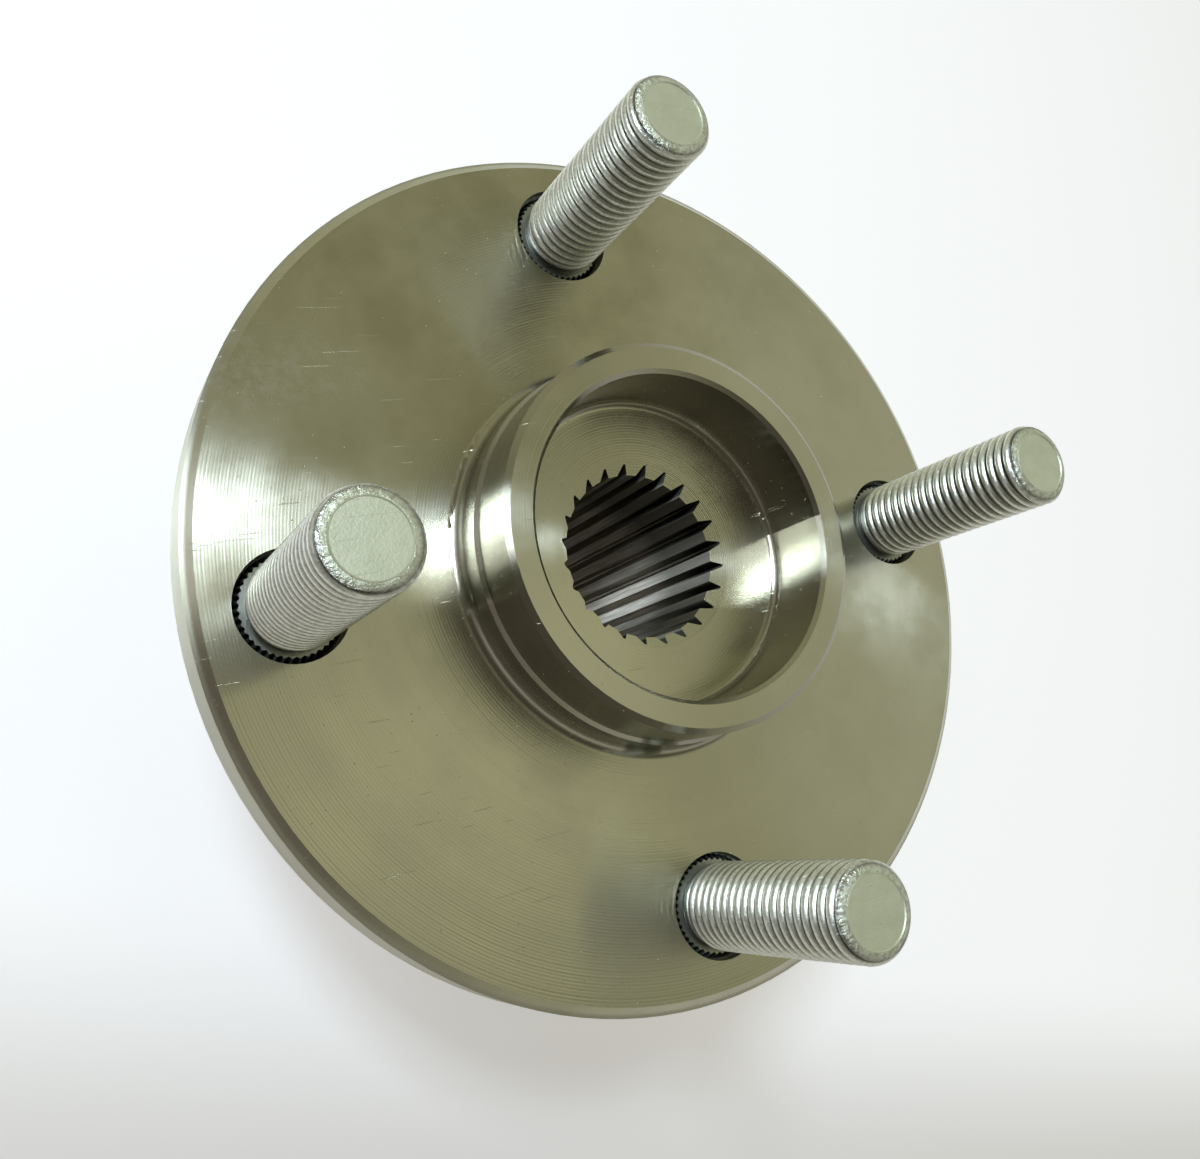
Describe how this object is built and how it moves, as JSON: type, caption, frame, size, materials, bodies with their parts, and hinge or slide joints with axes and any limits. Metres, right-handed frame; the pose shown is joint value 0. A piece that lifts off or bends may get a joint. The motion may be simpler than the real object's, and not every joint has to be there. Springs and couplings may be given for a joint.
{
  "type": "wheel hub bearing",
  "caption": "Driven-wheel hub bearing unit: flanged hub with pressed wheel studs and splined bore, turning on two ball rows in a flanged outer ring.",
  "frame": {"origin": "centre of the face that the wheel is clamped against, on the axle axis", "axes": "+Z along the axle axis, outboard, the way the wheel studs point; +X through wheel stud 1"},
  "size_m": [0.1248, 0.1248, 0.0879],
  "materials": {
    "machined_steel": "fine turned steel with an oil film",
    "stud_zinc": "zinc flake on rolled thread, satin",
    "bearing_steel": "ground and honed",
    "ball_steel": "polished",
    "cage_plastic": "glass-filled polyamide",
    "seal_steel": "pressed sheet",
    "seal_rubber": "moulded nitrile rubber",
    "encoder_rubber": "magnetised rubber, matt"
  },
  "bodies": {
    "outer_ring": {"outer_ring": "machined_steel", "seal_case_outboard": "seal_steel", "seal_case_inboard": "seal_steel", "seal_lips_outboard": "seal_rubber", "seal_lips_inboard": "seal_rubber"},
    "hub": {"hub_flange": "machined_steel", "wheel_stud_1": "stud_zinc", "wheel_stud_2": "stud_zinc", "wheel_stud_3": "stud_zinc", "wheel_stud_4": "stud_zinc", "inner_ring": "bearing_steel", "slinger": "seal_steel", "encoder_ring": "encoder_rubber"},
    "outboard_balls": {"cage_outboard": "cage_plastic", "ball_outboard_01": "ball_steel", "ball_outboard_02": "ball_steel", "ball_outboard_03": "ball_steel", "ball_outboard_04": "ball_steel", "ball_outboard_05": "ball_steel", "ball_outboard_06": "ball_steel", "ball_outboard_07": "ball_steel", "ball_outboard_08": "ball_steel", "ball_outboard_09": "ball_steel", "ball_outboard_10": "ball_steel", "ball_outboard_11": "ball_steel", "ball_outboard_12": "ball_steel"},
    "inboard_balls": {"cage_inboard": "cage_plastic", "ball_inboard_01": "ball_steel", "ball_inboard_02": "ball_steel", "ball_inboard_03": "ball_steel", "ball_inboard_04": "ball_steel", "ball_inboard_05": "ball_steel", "ball_inboard_06": "ball_steel", "ball_inboard_07": "ball_steel", "ball_inboard_08": "ball_steel", "ball_inboard_09": "ball_steel", "ball_inboard_10": "ball_steel", "ball_inboard_11": "ball_steel", "ball_inboard_12": "ball_steel"}
  },
  "joints": [
    {"name": "hub_spin", "type": "hinge", "parent": "outer_ring", "child": "hub", "pos_m": [0, 0, 0], "axis": [0, 0, 1], "continuous": true},
    {"name": "outboard_balls_spin", "type": "hinge", "parent": "outer_ring", "child": "outboard_balls", "pos_m": [0, 0, -0.02551], "axis": [0, 0, 1], "continuous": true},
    {"name": "inboard_balls_spin", "type": "hinge", "parent": "outer_ring", "child": "inboard_balls", "pos_m": [0, 0, -0.04101], "axis": [0, 0, 1], "continuous": true}
  ],
  "couplings": [
    {"joint": "outboard_balls_spin", "follows": "hub_spin", "ratio": 0.4197},
    {"joint": "inboard_balls_spin", "follows": "hub_spin", "ratio": 0.4197}
  ]
}
